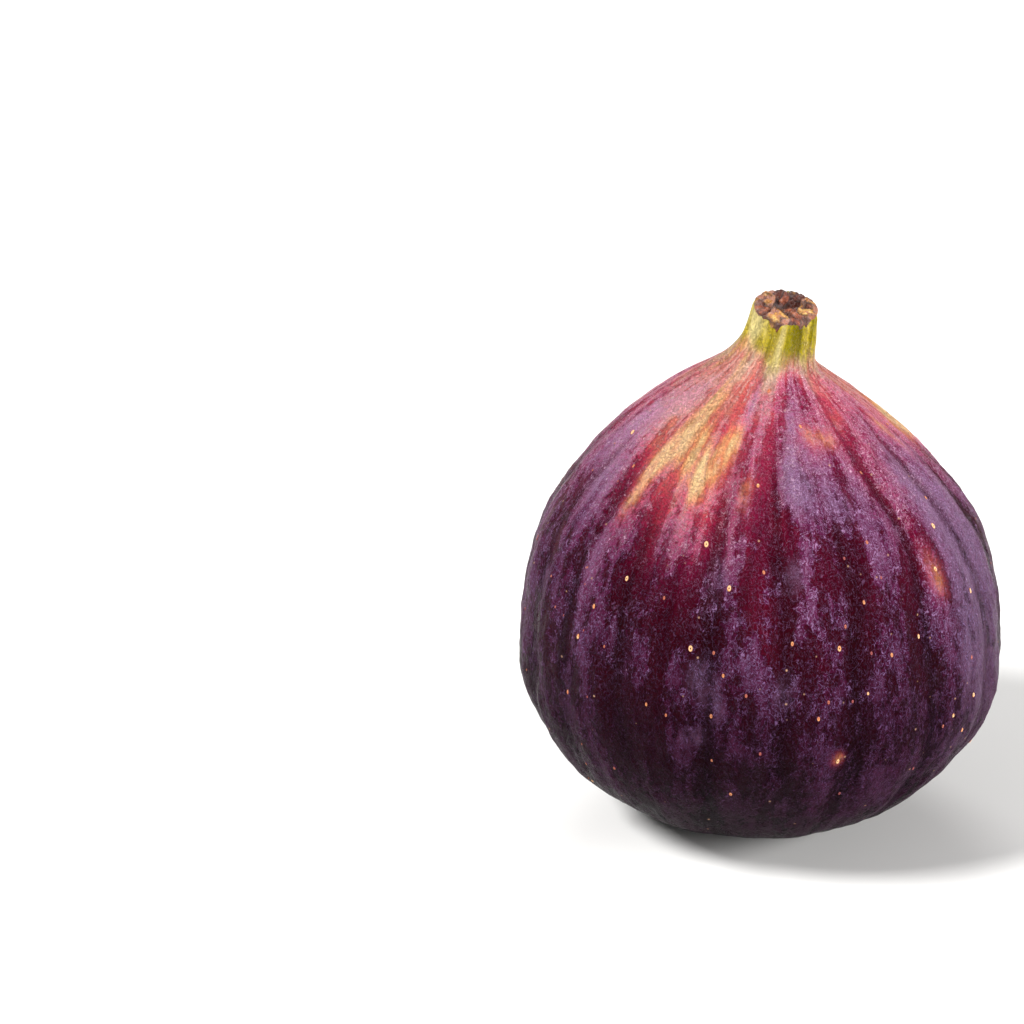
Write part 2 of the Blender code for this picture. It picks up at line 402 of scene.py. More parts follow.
    # the sloping cut and the leaning neck
    slope = addNode(tree, "ShaderNodeMapRange", {
        "Value": height, "From Min": figForm["cutHeight"] - figForm["cutTiltSpan"],
        "From Max": figForm["cutHeight"]}, interpolation_type="SMOOTHSTEP")
    right = addNode(tree, "ShaderNodeMath", {0: x, 1: -figForm["cutTiltRight"]}, operation="MULTIPLY")
    front = addNode(tree, "ShaderNodeMath", {0: y, 1: figForm["cutTiltFront"]}, operation="MULTIPLY")
    tilt = addNode(tree, "ShaderNodeMath", {0: right, 1: front}, operation="ADD")
    tilt = addNode(tree, "ShaderNodeMath", {0: tilt, 1: slope}, operation="MULTIPLY")
    level = addNode(tree, "ShaderNodeMath", {0: level, 1: tilt}, operation="ADD")
    lean = addNode(tree, "ShaderNodeMapRange", {
        "Value": height, "From Min": figForm["leanStart"],
        "From Max": figForm["leanStart"] + figForm["leanSpan"], "To Max": figForm["neckLean"]},
        interpolation_type="SMOOTHSTEP")
    x = addNode(tree, "ShaderNodeMath", {0: x, 1: lean}, operation="ADD")
    place = addNode(tree, "ShaderNodeCombineXYZ", {0: x, 1: y, 2: level})
    place = addNode(tree, "ShaderNodeVectorMath", {0: place, "Scale": mm}, operation="SCALE")

    geometry = grid.outputs["Mesh"]
    stored = (("flow", "FLOAT_VECTOR", flow), ("fold", "FLOAT", fold), ("rib", "FLOAT", rib))
    for label, kind, value in stored:
        geometry = addNode(tree, "GeometryNodeStoreNamedAttribute", {
            0: geometry, "Name": label, "Value": value}, data_type=kind, domain="POINT")
    placed = addNode(tree, "GeometryNodeSetPosition", {0: geometry, "Position": place})
    sewn = addNode(tree, "GeometryNodeMergeByDistance", {0: placed, "Distance": 0.0001 * mm})
    endTree(tree, sewn, entry["Material"])
    return tree


def growSkin(material):
    inputs = {
        "Outline": outlineGuide(),
        "Folds": circleGuide("foldGuide", skinFolds, "depth", "foot", "head"),
        "Ribs": circleGuide("ribGuide", neckRibs, "height"),
        "Steps Round": skinRelief["stepsRound"],
        "Lump Size": skinRelief["lumpSize"], "Lump Height": skinRelief["lumpHeight"],
        "Stria Size": skinRelief["striaSize"], "Stria Length": skinRelief["striaLength"],
        "Stria Height": skinRelief["striaHeight"],
        "Wrinkle Size": skinRelief["wrinkleSize"], "Wrinkle Height": skinRelief["wrinkleHeight"],
        "Fold Width": math.radians(skinRelief["foldWidth"]),
        "Fold Wander": math.radians(skinRelief["foldWander"]), "Fold Run Out": skinRelief["foldRunOut"],
        "Rib Width": math.radians(skinRelief["ribWidth"]),
        "Stalk Rib Width": math.radians(skinRelief["stalkRibWidth"]),
        "Rib Wander": math.radians(skinRelief["ribWander"]),
        "Seed": skinRelief["seed"], "Material": material,
    }
    skin = growPiece("figSkin", skinTree(inputs), inputs)
    for label in ("Outline", "Folds", "Ribs"):
        bpy.data.objects.remove(inputs[label])
    return skin


# Patterns of the skin: millimetres across and down the fruit, detail and roughness. In order, they are how
# far the ripe purple has crept up, colour drawn out along the meridians, fine lines into the neck, dusty
# wax that is rubbed through in places, broad bands that run into the neck, ragged small breaks in the wax,
# and unripe flesh that shows near the neck
skinPatterns = {
    "drift": (11.0, 20.0, 3.0, 0.5),
    "streak": (1.9, 11.0, 4.0, 0.6),
    "stria": (0.7, 7.0, 3.0, 0.6),
    "bloom": (3.4, 7.0, 9.0, 0.64),
    "band": (9.0, 14.0, 3.0, 0.5),
    "rub": (0.9, 1.3, 6.0, 0.7),
    "ochre": (3.2, 4.2, 5.0, 0.65),
}
# How far in height marks and patterns push the ripening colour, and the heights of the neck and the stalk
skinRipening = {
    "lateLift": 8.0, "driftReach": 12.0, "mottleReach": 7.0, "streakReach": 14.0, "neckStreakReach": 3.0,
    "streakStart": 42.0, "streakEnd": 53.0, "fullHeight": 62.0,
    "creamStart": 49.5, "creamEnd": 57.0, "greenStart": 57.0, "greenEnd": 62.0,
}
# angle, height, half width in degrees, half height and strength of each wash that the skin carries
skinWashes = {
    "lateAndStalkLight": [      # slower to ripen, so paler and pinker, or riper where it is negative; on the stalk painted light and shade
        (-24, 43.0, 17, 6.0, 0.9), (-44, 46.0, 12, 5.0, 0.7), (48, 34.0, 8, 9.0, 0.35),
        (-66, 51.0, 18, 5.0, 0.6), (22, 44.5, 22, 9.0, -0.85), (26, 26.0, 26, 9.0, 0.12),
        # from (-62, 60.5) on, the washes on the stalk are painted light and shade: lighter on its left
        # side, at the front and at its right edge, darker right of the front
        (18, 53.6, 14, 2.2, -0.9), (-62, 60.5, 34, 2.6, 1.1), (-4, 59.0, 8, 3.0, 0.6),
        (76, 60.0, 14, 3.0, 0.7), (24, 60.0, 18, 3.0, -0.3),
    ],
    "pale": [      # cream and ochre, where the peel is still unripe
        (-86, 55.0, 11, 2.2, 0.7), (-66, 56.8, 12, 1.6, 0.6), (-50, 56.4, 6, 1.8, 0.8),
        (-42, 53.0, 7, 2.6, 1.0), (-46, 49.6, 5.5, 3.0, 1.1), (-50, 46.4, 5, 3.6, 1.0),
        (-51, 42.5, 4.5, 2.6, 0.6), (-37, 49.6, 7, 2.4, 0.9), (-33, 47.2, 7, 2.6, 0.7),
        (-23, 48.2, 6, 2.8, 0.9), (-19, 50.1, 7, 2.0, 0.7), (-28, 45.6, 6, 2.2, 0.7),
        (-11, 45.2, 3.5, 2.2, 0.7), (-7, 47.0, 4, 1.4, 0.5), (-6, 53.9, 3, 0.6, 0.7),
        (17, 50.6, 5, 1.3, 0.6), (24, 49.8, 6, 1.6, 0.7), (32, 49.5, 6, 1.3, 0.6),
        (41, 50.7, 7, 1.5, 0.5), (48, 51.2, 7, 1.4, 0.4), (58, 55.6, 12, 1.4, 0.5),
        (74, 49.0, 6, 1.8, 0.6), (78, 47.3, 5, 2.4, 0.7), (46.5, 37.2, 3.4, 2.8, 0.6),
        (48.5, 34.6, 3.4, 2.8, 0.6), (15.2, 18.2, 1.8, 1.1, 1.1), (-72, 57.6, 12, 1.0, 0.6),
    ],
    "blush": [     # rose and blood red
        (-28, 54.2, 7, 1.8, 1.0), (-24, 52.0, 5, 1.3, 0.8), (-35, 55.6, 6, 1.2, 0.6),
        (-53, 53.6, 6, 1.5, 0.7), (-43, 45.0, 4, 2.4, 0.4), (-36, 44.0, 5, 2.6, 0.35),
        (-12, 50.0, 8, 2.2, 0.5), (-8, 52.6, 7, 1.5, 0.7), (2, 52.9, 6, 1.3, 0.5),
        (12, 54.8, 12, 0.8, 0.5), (30, 53.4, 14, 1.3, 0.4), (-4, 46.2, 5, 3.0, 0.5),
        (-6, 40.0, 6, 4.0, 0.5), (4, 43.0, 6, 3.0, 0.6), (-4, 34.0, 5, 5.0, 0.5),
        (12, 40.0, 5, 4.0, 0.4), (2, 31.0, 6, 5.0, 0.35), (-38, 39.0, 5, 4.0, 0.4),
        (-56, 56.6, 24, 1.8, 0.8),
    ],
    "hazeAndSheen": [      # thick blue-grey wax; on the right flank it also paints the sheen of the turning edge
        (-76, 50.0, 11, 3.4, 1.0), (-63, 52.6, 9, 2.2, 0.9), (-83, 46.0, 8, 3.0, 0.6),
        (-69, 44.5, 8, 3.0, 0.9), (-17, 53.0, 5, 1.5, 0.8), (-32, 41.5, 5, 3.0, 0.5),
        (7, 47.6, 4.5, 2.4, 1.0), (11, 45.4, 3.5, 1.8, 0.8), (23, 44.0, 5, 2.0, 0.6),
        (33, 45.0, 3.5, 3.0, 0.5), (5, 38.6, 3.5, 2.0, 0.6), (-15, 38.0, 4, 4.0, 0.5),
        (-17, 27.6, 4, 2.6, 0.7), (-14, 24.4, 3, 2.0, 0.6), (2, 26.4, 3, 2.6, 0.6),
        # from (54, 29.0) to (46, 14.0): wax on the right flank, and painted sheen where the skin turns away
        (-18, 20.6, 4, 1.6, 0.6), (54, 29.0, 3, 7.0, 0.6), (56, 43.5, 8, 4.0, 0.5),
        (60, 40.0, 7, 9.0, 0.8), (73, 36.0, 8, 13.0, 0.85), (62, 22.0, 10, 12.0, 0.85),
        (78, 16.0, 6, 9.0, 0.7), (46, 14.0, 9, 5.0, 0.4), (30, 12.0, 8, 3.0, 0.3),
        (10, 51.4, 6, 2.0, 0.6), (18, 47.0, 7, 2.6, 0.4), (3, 11.6, 5, 2.0, 0.4),
    ],
    "bare": [      # wax rubbed away
        (-57, 48.4, 3, 1.6, 0.8), (-3, 43.2, 3, 3.0, 0.8), (0, 48.4, 3, 2.0, 0.7),
        (1, 41.0, 4, 2.0, 0.9), (14, 46.4, 4, 1.0, 0.7), (14, 38.4, 4, 2.2, 0.8),
        (-7, 36.0, 4, 3.0, 0.7), (24, 37.0, 4, 4.0, 0.7), (-38, 37.0, 5, 5.0, 0.8),
        (-27, 34.0, 5, 5.0, 0.5), (37, 34.0, 2.5, 10.0, 0.8), (1, 30.4, 5, 2.6, 0.7),
        (19, 30.0, 3, 5.0, 0.6), (-12, 15.4, 6, 3.0, 0.5), (-30, 22.0, 10, 10.0, 0.5),
    ],
}
farSide = {"angles": (95, 265), "strengths": (0.35, 0.85), "seed": 11}
# kind, count, lowest and highest, half widths, half heights of the washes on the far side
farWashes = [
    ("lateAndStalkLight", 5, 38.0, 48.0, (8.0, 16.0), (4.0, 7.0)), ("pale", 22, 45.0, 54.0, (4.0, 9.0), (1.6, 4.0)),
    ("pale", 3, 24.0, 38.0, (1.6, 2.6), (1.4, 2.6)), ("blush", 16, 33.0, 55.0, (4.0, 8.0), (1.4, 4.0)),
    ("hazeAndSheen", 24, 12.0, 53.0, (2.5, 6.0), (4.0, 10.0)), ("bare", 20, 12.0, 49.0, (2.5, 5.0), (1.5, 5.0)),
]


def ripeSkin():
    # fig skin: thin peel, blood-dark under a grey-violet wax bloom that leaves it almost without shine and
    # that handling has rubbed through, paler and streaked with cream towards the neck, with a green stalk
    material, tree, shader, inMillimetres = startMaterial("ripe fig peel with wax bloom")
    flow = addNode(tree, "ShaderNodeAttribute", attribute_name="flow").outputs["Vector"]
    heightUp = addNode(tree, "ShaderNodeMath", {
        0: addNode(tree, "ShaderNodeSeparateXYZ", {0: flow}).outputs["Z"], 1: figForm["bellyRadius"]},
        operation="MULTIPLY")
    noise = {}
    for name, (across, down, detail, rough) in skinPatterns.items():
        place, unit = (inMillimetres, 1.0) if name == "rub" else (flow, figForm["bellyRadius"])
        scale = (unit / across, unit / across, unit / down)
        scaled = addNode(tree, "ShaderNodeMapping", {"Vector": place, "Scale": scale})
        noise[name] = addNode(tree, "ShaderNodeTexNoise", {
            "Vector": scaled, "Scale": 1.0, "Detail": detail, "Roughness": rough})
    noise["mottle"] = addNode(tree, "ShaderNodeTexNoise", {
        "Vector": inMillimetres, "Scale": 0.55, "Detail": 5.0, "Roughness": 0.6})
    mark = {name: addNode(tree, "ShaderNodeAttribute", attribute_name=name).outputs["Fac"]
            for name in ("fold", "rib", "lateAndStalkLight", "pale", "blush", "hazeAndSheen", "bare")}

    # the height that the ripening colour follows, pushed up and down by drift and streaks
    ripening = addNode(tree, "ShaderNodeMath", {0: mark["lateAndStalkLight"], 1: skinRipening["lateLift"], 2: heightUp},
                       operation="MULTIPLY_ADD")
    streakReach = addNode(tree, "ShaderNodeMapRange", {
        "Value": heightUp, "From Min": skinRipening["streakStart"], "From Max": skinRipening["streakEnd"],
        "To Min": skinRipening["streakReach"], "To Max": skinRipening["neckStreakReach"]})
    ripening = addSway(tree, ripening, noise["drift"], skinRipening["driftReach"])
    ripening = addSway(tree, ripening, noise["streak"], streakReach)
    ripening = addSway(tree, ripening, noise["mottle"], skinRipening["mottleReach"])
    ripeness = addNode(tree, "ShaderNodeMath", {0: ripening, 1: skinRipening["fullHeight"]},
                       operation="DIVIDE")
    # the ramps run from dark at the foot, where the fruit is ripest, to pale at the neck; the darkest stops
    # low down are also painted shade on the underside
    peel = addNode(tree, "ShaderNodeValToRGB", {0: ripeness}, stops=[
        (0.1, "#18020a"), (0.35, "#300518"), (0.52, "#44041c"), (0.61, "#5c0a2c"), (0.69, "#7e1644"),
        (0.76, "#a83058"), (0.83, "#d85068"), (0.92, "#f89c74")])
    thinWax = addNode(tree, "ShaderNodeValToRGB", {0: ripeness}, stops=[
        (0.1, "#260818"), (0.35, "#3c0f2c"), (0.52, "#581a42"), (0.61, "#743060"), (0.69, "#984876"),
        (0.76, "#c06088"), (0.83, "#ea7c96"), (0.92, "#ffbc9c")])
    thickWax = addNode(tree, "ShaderNodeValToRGB", {0: ripeness}, stops=[
        (0.1, "#3c1c38"), (0.35, "#5c3456"), (0.52, "#7c547c"), (0.61, "#987098"), (0.69, "#b086b0"),
        (0.76, "#d098bc"), (0.83, "#f0b0ca"), (0.92, "#ffd0bc")])
    waxHazeAndSheen = addNode(tree, "ShaderNodeValToRGB", {0: ripeness}, stops=[
        (0.1, "#705c72"), (0.3, "#827490"), (0.5, "#9488aa"), (0.7, "#ac9ec4"), (0.82, "#ccb0d8"),
        (0.92, "#ecb0c8")])
    blushTone = addNode(tree, "ShaderNodeValToRGB", {0: ripeness}, stops=[
        (0.4, "#52061e"), (0.62, "#7c1038"), (0.74, "#c03858"), (0.83, "#e45464"), (0.9, "#ec8460")])

    # wax bloom: cover has the crisp edges left by rubbing, and thickness builds up away from them
    wax = addNode(tree, "ShaderNodeMath", {0: noise["rub"], 1: 0.6, 2: noise["bloom"]},
                  operation="MULTIPLY_ADD")
    wax = addNode(tree, "ShaderNodeMath", {0: noise["streak"], 1: 0.3, 2: wax}, operation="MULTIPLY_ADD")
    for name, weight in (("hazeAndSheen", 0.14), ("bare", -0.20), ("blush", -0.05), ("fold", -0.06)):
        wax = addNode(tree, "ShaderNodeMath", {0: mark[name], 1: weight, 2: wax}, operation="MULTIPLY_ADD")
    cover = addNode(tree, "ShaderNodeMapRange", {
        "Value": wax, "From Min": 0.88, "From Max": 0.93}, interpolation_type="SMOOTHSTEP")
    thickness = addNode(tree, "ShaderNodeMapRange", {
        "Value": wax, "From Min": 0.94, "From Max": 1.16, "To Max": 0.9}, interpolation_type="SMOOTHSTEP")

    # how much of each wash shows: its own mark with ragged, streaked edges
    share = {}
    for name, pattern, torn, drawn, low, high, strongest in (
            ("blush", "bloom", 1.9, 1.5, 0.10, 1.00, 0.85), ("hazeAndSheen", "rub", 2.2, 1.5, 0.10, 1.05, 0.68),
            ("pale", "ochre", 1.7, 0.8, 0.05, 1.50, 0.88)):
        ragged = mark[name]
        for source, most in ((pattern, torn), ("streak", drawn)):
            reach = addNode(tree, "ShaderNodeMath", {0: mark[name], 1: most}, operation="MULTIPLY")
            ragged = addSway(tree, ragged, noise[source], reach)
        share[name] = addNode(tree, "ShaderNodeMapRange", {
            "Value": ragged, "From Min": low, "From Max": high, "To Max": strongest},
            interpolation_type="SMOOTHSTEP")
    unripe = addNode(tree, "ShaderNodeValToRGB", {0: share["pale"]}, stops=[
        (0.05, "#e4607a"), (0.35, "#f08c68"), (0.62, "#f8b86c"), (0.9, "#ffe4a0")])

    # neck: cream ribs between rose hollows, drawn into fine lines
    lateHeight = addNode(tree, "ShaderNodeMath", {0: mark["lateAndStalkLight"], 1: 4.0, 2: heightUp},
                         operation="MULTIPLY_ADD")
    neck = addNode(tree, "ShaderNodeMapRange", {
        "Value": lateHeight, "From Min": skinRipening["creamStart"], "From Max": skinRipening["creamEnd"],
        "To Max": 0.75}, interpolation_type="SMOOTHSTEP")
    cream = mark["rib"]
    for name, reach in (("band", 2.2), ("stria", 0.2), ("mottle", 1.5)):
        cream = addSway(tree, cream, noise[name], reach)
    neckTone = addNode(tree, "ShaderNodeValToRGB", {0: cream}, stops=[
        (0.0, "#d8587c"), (0.3, "#f094a8"), (0.6, "#ffbcb0"), (0.95, "#fff0cc")])
    onRib = addNode(tree, "ShaderNodeMapRange", {"Value": cream, "To Min": 0.25})
    neck = addNode(tree, "ShaderNodeMath", {0: neck, 1: onRib}, operation="MULTIPLY")

    # stalk: still green, lighter on its ribs, and lighter or darker where the washes on it paint light and
    # shade
    green = heightUp
    for source, reach in ((noise["streak"], 4.0), (noise["mottle"], 3.0), (mark["blush"], -3.5)):
        green = addNode(tree, "ShaderNodeMath", {0: source, 1: reach, 2: green}, operation="MULTIPLY_ADD")
    green = addNode(tree, "ShaderNodeMapRange", {
        "Value": green, "From Min": skinRipening["greenStart"], "From Max": skinRipening["greenEnd"]},
        interpolation_type="SMOOTHSTEP")
    broad = addNode(tree, "ShaderNodeMath", {0: mark["lateAndStalkLight"], 1: 0.6, 2: 0.15}, operation="MULTIPLY_ADD")
    broad = addNode(tree, "ShaderNodeMath", {0: mark["rib"], 1: 0.2, 2: broad}, operation="MULTIPLY_ADD")
    broad = addSway(tree, broad, noise["band"], 1.6)
    stalkTone = addNode(tree, "ShaderNodeValToRGB", {0: broad}, stops=[
        (0.0, "#847a0c"), (0.2, "#a09418"), (0.5, "#c8b43c"), (0.85, "#ecdc90")])

    # crinkle: short leathery ridges, finer than half a millimetre, in two directions that take turns
    ridges = []
    for size, turn in ((2.0, 0.5), (3.0, -0.6)):
        turned = addNode(tree, "ShaderNodeMapping", {
            "Vector": inMillimetres, "Rotation": (turn, turn, 0.4), "Scale": (size, size, size * 0.6)})
        ridge = addNode(tree, "ShaderNodeTexNoise", {
            "Vector": turned, "Scale": 1.0, "Detail": 1.5, "Roughness": 0.6, "Distortion": 0.6})
        ridge = addNode(tree, "ShaderNodeMath", {0: ridge, 1: 0.5}, operation="SUBTRACT")
        ridge = addNode(tree, "ShaderNodeMath", {0: ridge}, operation="ABSOLUTE")
        ridges.append(addNode(tree, "ShaderNodeMapRange", {
            "Value": ridge, "From Max": 0.042, "To Min": 1.0, "To Max": 0.0},
            interpolation_type="SMOOTHSTEP"))
    turns = addNode(tree, "ShaderNodeTexNoise", {"Vector": inMillimetres, "Scale": 1.9, "Detail": 1.0})
    turns = addNode(tree, "ShaderNodeMapRange", {"Value": turns, "From Min": 0.44, "From Max": 0.56})
    crinkle = addNode(tree, "ShaderNodeMix", {0: turns, 2: ridges[0], 3: ridges[1]})
    ripeShare = addNode(tree, "ShaderNodeMapRange", {
        "Value": ripeness, "From Min": 0.78, "From Max": 0.98, "To Min": 1.0, "To Max": 0.3})
    paleShare = addNode(tree, "ShaderNodeMath", {0: share["pale"], 1: green}, operation="MAXIMUM")
    paleShare = addNode(tree, "ShaderNodeMapRange", {
        "Value": paleShare, "From Max": 0.7, "To Min": 1.0, "To Max": 0.4})
    ripeShare = addNode(tree, "ShaderNodeMath", {0: ripeShare, 1: paleShare}, operation="MULTIPLY")
    onWax = addNode(tree, "ShaderNodeMapRange", {"Value": cover, "To Min": 0.2, "To Max": 0.75})
    onWax = addNode(tree, "ShaderNodeMath", {0: onWax, 1: ripeShare}, operation="MULTIPLY")
    # painted glints: light marks on the crinkle crests, tinted like the wax under them
    glintShare = addNode(tree, "ShaderNodeMath", {0: crinkle, 1: onWax}, operation="MULTIPLY")
    crinkleGlint = addNode(tree, "ShaderNodeValToRGB", {0: ripeness}, stops=[
        (0.1, "#4c2c48"), (0.35, "#6c4a74"), (0.5, "#9674a4"), (0.62, "#c296c4"), (0.8, "#fcc4d4"),
        (0.95, "#fff4d8")])
    # painted shade: darker in the troughs between the crinkle ridges
    troughShade = addNode(tree, "ShaderNodeMath", {0: 1.0, 1: crinkle}, operation="SUBTRACT")
    troughShade = addNode(tree, "ShaderNodeMath", {0: troughShade, 1: ripeShare}, operation="MULTIPLY")
    grain = addNode(tree, "ShaderNodeTexNoise", {"Vector": inMillimetres, "Scale": 4.6, "Detail": 1.0})
    grain = addNode(tree, "ShaderNodeMapRange", {
        "Value": grain, "From Min": 0.36, "From Max": 0.62, "To Min": 1.0, "To Max": 0.0})
    grain = addNode(tree, "ShaderNodeMath", {0: grain, 1: ripeShare}, operation="MULTIPLY")

    # specks: small corky points, many too small to model
    specks = addNode(tree, "ShaderNodeTexVoronoi", {"Vector": inMillimetres, "Scale": 0.62})
    pick = addNode(tree, "ShaderNodeSeparateColor", {0: specks.outputs["Color"]})
    few = addNode(tree, "ShaderNodeMath", {0: pick.outputs["Red"], 1: 0.72}, operation="GREATER_THAN")
    dot = addNode(tree, "ShaderNodeMapRange", {
        "Value": specks.outputs["Distance"], "From Min": 0.04, "From Max": 0.11,
        "To Min": 0.8, "To Max": 0.0})
    dot = addNode(tree, "ShaderNodeMath", {0: dot, 1: few}, operation="MULTIPLY")

    # painted shade: darker along the bottoms of the folds
    foldShade = addNode(tree, "ShaderNodeMath", {0: mark["fold"], 1: 3.0}, operation="POWER")
    foldShade = addNode(tree, "ShaderNodeMath", {0: foldShade, 1: 0.6}, operation="MULTIPLY")

    # each layer covers or darkens what is below it
    colour = peel.outputs["Color"]
    for amount, tint, blend in (
            (share["blush"], blushTone, "MIX"), (cover, thinWax, "MIX"), (thickness, thickWax, "MIX"),
            (share["hazeAndSheen"], waxHazeAndSheen, "MIX"), (neck, neckTone, "MIX"), (green, stalkTone, "MIX"),
            (share["pale"], unripe, "MIX"), (foldShade, hexColour("#803848"), "MULTIPLY"),
            (troughShade, hexColour("#d4b8c2"), "MULTIPLY"), (grain, hexColour("#d0b4bc"), "MULTIPLY"),
            (glintShare, crinkleGlint, "MIX"), (dot, hexColour("#d8a888"), "MIX")):
        above = tint.outputs["Color"] if isinstance(tint, bpy.types.Node) else tint
        colour = addNode(tree, "ShaderNodeMix", {0: amount, 6: colour, 7: above},
                         data_type="RGBA", blend_type=blend).outputs[2]
    tree.links.new(colour, shader.inputs["Base Color"])

    roughness = addNode(tree, "ShaderNodeMapRange", {"Value": cover, "To Min": 0.2, "To Max": 0.3})
    tree.links.new(roughness.outputs["Result"], shader.inputs["Roughness"])
    shader.inputs["IOR"].default_value = 1.45
    shader.inputs["Specular IOR Level"].default_value = 0.02
    shader.inputs["Sheen Weight"].default_value = 0.03
    shader.inputs["Sheen Roughness"].default_value = 0.22
    shader.inputs["Sheen Tint"].default_value = hexColour("#d0a8d8")
    relief = addNode(tree, "ShaderNodeMath", {0: noise["rub"], 1: 3.0, 2: crinkle},
                     operation="MULTIPLY_ADD")
    relief = addNode(tree, "ShaderNodeMath", {0: cover, 1: 0.6, 2: relief}, operation="MULTIPLY_ADD")
    bump = addNode(tree, "ShaderNodeBump", {"Height": relief, "Strength": 1.0, "Distance": 0.32 * mm})
    tree.links.new(bump.outputs["Normal"], shader.inputs["Normal"])
    return material


def markWashes(skin):
    # stores how strong each wash is at each point of the skin
    count = len(skin.data.vertices)
    flow = np.empty(count * 3, np.float32)
    skin.data.attributes["flow"].data.foreach_get("vector", flow)
    flow = flow.reshape(-1, 3)
    angle = np.degrees(np.arctan2(flow[:, 0], -flow[:, 1]))
    height = flow[:, 2] * figForm["bellyRadius"]
    dice = random.Random(farSide["seed"])
    washes = {name: list(marks) for name, marks in skinWashes.items()}
    for name, number, lowest, highest, widths, heights in farWashes:
        for _ in range(number):
            place = (dice.uniform(*farSide["angles"]), dice.uniform(lowest, highest))
            size = (dice.uniform(*widths), dice.uniform(*heights))
            washes[name].append((*place, *size, dice.uniform(*farSide["strengths"])))
    for name, marks in washes.items():
        strength = np.zeros(count)
        for markAngle, markHeight, halfWidth, halfHeight, amount in marks:
            away = (angle - markAngle + 180) % 360 - 180
            above = height - markHeight
            strength += amount * np.exp(-(away / halfWidth) ** 2 - (above / halfHeight) ** 2)
        layer = skin.data.attributes.new(name, "FLOAT", "POINT")
        layer.data.foreach_set("value", np.clip(strength, -1.0, 1.2).astype(np.float32))


skin = growSkin(ripeSkin())
markWashes(skin)
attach(skin, "root")
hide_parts("fig")


def onNeck(x, y, height):
    # a point of the upright form in millimetres, moved to the leaning neck with its sloping cut
    slope = smoothStep((height - figForm["cutHeight"]) / figForm["cutTiltSpan"] + 1)
    lean = smoothStep((height - figForm["leanStart"]) / figForm["leanSpan"]) * figForm["neckLean"]
    tilt = (figForm["cutTiltFront"] * y - figForm["cutTiltRight"] * x) * slope
    return Vector((x + lean, y, height + tilt)) * mm


# Pores of the skin: angle, height, radius, and 1 where the pore has opened to a ring
frontPores = [
    (-20, 41.2, 0.42, 1), (-20, 30.8, 0.42, 1), (-12, 37.3, 0.40, 1), (15.5, 31.0, 0.38, 1),
    (59.5, 32.6, 0.40, 1), (54.5, 40.1, 0.40, 1), (-3, 39.0, 0.28, 0), (-14.5, 30.6, 0.26, 0),
    (-28.5, 35.5, 0.26, 0), (-12, 28.2, 0.28, 0), (-6.5, 26.2, 0.26, 0), (4, 31.8, 0.30, 0),
    (12.4, 25.2, 0.26, 0), (18.4, 24.8, 0.22, 0), (23.5, 30.0, 0.24, 0), (23.3, 35.4, 0.28, 1),
    (17.6, 33.2, 0.28, 0), (22, 25.6, 0.22, 0), (28.7, 29.4, 0.30, 0), (37.8, 30.5, 0.34, 1),
    (47.8, 36.5, 0.36, 1), (55.2, 25.6, 0.30, 0), (56.4, 20.8, 0.34, 1), (48.4, 19.6, 0.30, 0),
    (45.2, 18.6, 0.26, 0), (-30, 23.6, 0.26, 0), (-25.0, 22.8, 0.24, 0), (-14.5, 23.4, 0.30, 1),
    (-14.6, 17.6, 0.22, 0), (-3, 19.3, 0.24, 0), (10, 23.4, 0.30, 0), (15.2, 17.8, 0.36, 1),
    (-10, 13.2, 0.30, 0), (17.4, 12.8, 0.24, 0), (-5.8, 46.5, 0.30, 0), (28, 40.8, 0.28, 0),
    (63, 42.4, 0.30, 0), (40, 46.6, 0.28, 0), (29.4, 37.4, 0.22, 0), (-6.4, 53.9, 0.34, 0),
    (38.3, 14.0, 0.26, 0), (16, 51.0, 0.28, 0), (20.0, 39.8, 0.22, 0), (53, 17.0, 0.34, 0),
    (-59, 46.0, 0.26, 0),
]
poreScatter = {
    "others": 150, "seed": 5, "smallest": 0.14, "largest": 0.36,
    "angles": (72, 320), "heights": (7.0, 49.0), "openShare": 0.25, "openFrom": 0.25,
}
# radius and level of the rings of a pore of radius 1, from its hole over the lip and down into the skin
poreShape = {
    "steps": 12, "hole": -0.06, "root": -0.4, "stretch": (0.62, 0.98, 0.6),
    "rings": [(0.22, 0.02), (0.42, 0.30), (0.66, 0.36), (1.0, -0.10), (0.6, -0.35)],
}


def poreTree(inputs):
    # one pore for each mark, on the nearest place of the skin, upright along the meridian
    tree, entry = startTree("pores on the skin", inputs)
    skinMesh = addNode(tree, "GeometryNodeObjectInfo", {"Object": entry["Skin"]}).outputs["Geometry"]
    marks = addNode(tree, "GeometryNodeObjectInfo", {"Object": entry["Marks"]}).outputs["Geometry"]
    shape = addNode(tree, "GeometryNodeObjectInfo", {"Object": entry["Shape"]}).outputs["Geometry"]
    nearest = addNode(tree, "GeometryNodeProximity", {0: skinMesh}, target_element="FACES")
    facing = addNode(tree, "GeometryNodeSampleNearestSurface", {
        0: skinMesh, "Value": addNode(tree, "GeometryNodeInputNormal")}, data_type="FLOAT_VECTOR")
    outward = addNode(tree, "FunctionNodeAlignRotationToVector", {"Vector": facing}, axis="Z")
    upright = addNode(tree, "FunctionNodeAlignRotationToVector", {
        "Rotation": outward, "Vector": (0.0, 0.0, 1.0)}, axis="Y", pivot_axis="Z")
    size = addNode(tree, "GeometryNodeInputNamedAttribute", {"Name": "size"}, data_type="FLOAT")
    size = addNode(tree, "ShaderNodeMath", {0: size, 1: mm}, operation="MULTIPLY")
    scale = addNode(tree, "ShaderNodeVectorMath", {0: poreShape["stretch"], "Scale": size},
                    operation="SCALE")
    placed = addNode(tree, "GeometryNodeSetPosition", {
        0: marks, "Position": nearest.outputs["Position"]})
    pores = addNode(tree, "GeometryNodeInstanceOnPoints", {
        0: placed, "Instance": shape, "Rotation": upright, "Scale": scale})
    endTree(tree, pores, entry["Material"])
    return tree


